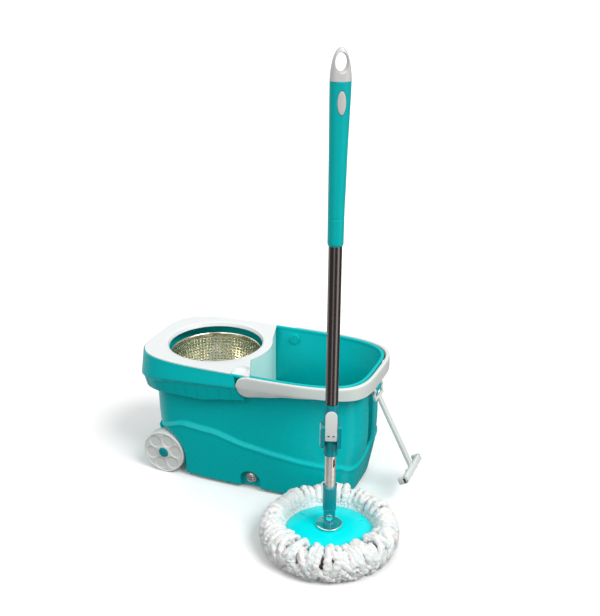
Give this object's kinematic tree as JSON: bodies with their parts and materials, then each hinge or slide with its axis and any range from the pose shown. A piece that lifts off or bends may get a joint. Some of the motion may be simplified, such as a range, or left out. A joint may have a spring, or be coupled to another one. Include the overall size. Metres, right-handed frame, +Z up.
{
  "type": "spin mop with wheeled wringing bucket",
  "caption": "Wheeled teal bucket with perforated spin basket, bail and tow handle, with a telescopic push-to-spin mop whose round head carries microfibre loops.",
  "frame": {"origin": "on the floor, under the middle of the box around the bucket and the mop", "axes": "+X along the bucket from the basket's end to the tow handle's end, +Y from the mop towards the bucket's back, +Z up along the mop's pole"},
  "size_m": [0.5919, 0.4848, 0.8794],
  "materials": {
    "teal_shell": "moulded gloss teal",
    "teal_trim": "moulded satin teal",
    "teal_grip": "soft satin teal",
    "turquoise": "moulded gloss turquoise",
    "white_deck": "moulded gloss white",
    "pale_grey": "moulded satin light grey",
    "drain_grey": "moulded satin grey",
    "basket_steel": "bright perforated stainless steel",
    "dark_tube": "dark lacquered steel",
    "bright_steel": "bright steel",
    "zinc_steel": "zinc plated steel",
    "natural_nylon": "natural nylon",
    "black_rubber": "matt black rubber",
    "microfibre": "soft white microfibre loops"
  },
  "bodies": {
    "bucket": {"bucket_body": "teal_shell", "bail_pivots": "bright_steel", "tow_pivot_pin": "bright_steel", "axle_pins": "bright_steel", "axle_clips": "bright_steel", "rubber_feet": "black_rubber", "basket_spindle": "bright_steel"},
    "deck": {"basket_deck": "white_deck"},
    "basket": {"spin_basket": "basket_steel", "basket_hub": "white_deck", "hub_screws": "bright_steel", "spindle_bush": "natural_nylon"},
    "bail": {"bail_handle": "pale_grey"},
    "tow_bar": {"tow_handle": "pale_grey"},
    "front_wheel": {"wheel_front": "pale_grey", "wheel_cap_front": "teal_trim"},
    "rear_wheel": {"wheel_rear": "pale_grey", "wheel_cap_rear": "teal_trim"},
    "drain_gasket": {"drain_seal": "black_rubber"},
    "drain_screw": {"drain_plug": "drain_grey"},
    "mop_head": {"mop_disc": "turquoise", "disc_bearing": "natural_nylon", "strand_ring": "pale_grey", "mop_strands": "microfibre"},
    "swivel": {"swivel_foot": "teal_trim", "washer_plate": "bright_steel", "foot_screw": "bright_steel"},
    "lower_pole": {"yoke": "teal_trim", "hinge_pin": "bright_steel", "socket_sleeve": "teal_trim", "inner_tube": "bright_steel", "drive_nut": "natural_nylon", "tube_rivet": "bright_steel"},
    "slide_bush": {"guide_bush": "natural_nylon"},
    "upper_pole": {"outer_tube": "dark_tube", "lock_collar": "teal_trim", "collar_cap": "pale_grey", "lever_pin": "bright_steel", "twist_rod": "zinc_steel", "rod_anchor": "natural_nylon", "grip": "teal_grip", "grip_inlay": "white_deck", "grip_end_cap": "white_deck"},
    "lever": {"lock_lever": "pale_grey"}
  },
  "joints": [
    {"name": "front_wheel_spin", "type": "hinge", "parent": "bucket", "child": "front_wheel", "pos_m": [-0.2329, 0.01095, 0.0444], "axis": [0, 1, 0], "continuous": true},
    {"name": "rear_wheel_spin", "type": "hinge", "parent": "bucket", "child": "rear_wheel", "pos_m": [-0.2329, 0.20695, 0.0444], "axis": [0, 1, 0], "continuous": true},
    {"name": "bail_lift", "type": "hinge", "parent": "bucket", "child": "bail", "pos_m": [-0.0364, 0.10895, 0.236], "axis": [0, -1, 0], "range_deg": [0, 100]},
    {"name": "tow_swing", "type": "hinge", "parent": "bucket", "child": "tow_bar", "pos_m": [0.1801, 0.10895, 0.2175], "axis": [0, -1, 0], "range_deg": [-24, 110]},
    {"name": "deck_lift", "type": "slide", "parent": "bucket", "child": "deck", "axis": [0, 0, 1], "range_m": [0, 0.06]},
    {"name": "basket_spin", "type": "hinge", "parent": "bucket", "child": "basket", "pos_m": [-0.1617, 0.10895, 0.16], "axis": [0, 0, 1], "continuous": true},
    {"name": "drain_out", "type": "slide", "parent": "bucket", "child": "drain_gasket", "axis": [0, -1, 0], "range_m": [0, 0.012]},
    {"name": "drain_turn", "type": "hinge", "parent": "drain_gasket", "child": "drain_screw", "pos_m": [-0.0409, 0.00895, 0.026], "axis": [0, -1, 0], "range_deg": [0, 1081]},
    {"name": "mop_lift", "type": "slide", "parent": "bucket", "child": "mop_head", "axis": [0, 0, 1], "range_m": [0, 0.12]},
    {"name": "disc_swivel", "type": "hinge", "parent": "mop_head", "child": "swivel", "pos_m": [0.1669, -0.11345, 0.04], "axis": [0, 0, 1], "continuous": true},
    {"name": "yoke_tilt", "type": "hinge", "parent": "swivel", "child": "lower_pole", "pos_m": [0.1669, -0.11345, 0.0653], "axis": [-0.3387, 0.9409, 0], "range_deg": [-75.5, 74.5]},
    {"name": "pole_slide", "type": "slide", "parent": "lower_pole", "child": "slide_bush", "axis": [0.0082, 0.003, 1], "range_m": [-0.05, 0.28]},
    {"name": "pole_spin", "type": "hinge", "parent": "slide_bush", "child": "upper_pole", "pos_m": [0.16817, -0.11299, 0.21999], "axis": [0.0082, 0.003, 1], "range_deg": [-181, 1010]},
    {"name": "lever_flip", "type": "hinge", "parent": "upper_pole", "child": "lever", "pos_m": [0.17425, -0.12972, 0.22649], "axis": [0.9408, 0.3387, -0.0087], "range_deg": [0, 100]}
  ],
  "couplings": [
    {"joint": "drain_turn", "follows": "drain_out", "rad_per_m": 1570.8},
    {"joint": "pole_spin", "follows": "pole_slide", "rad_per_m": 62.832}
  ]
}
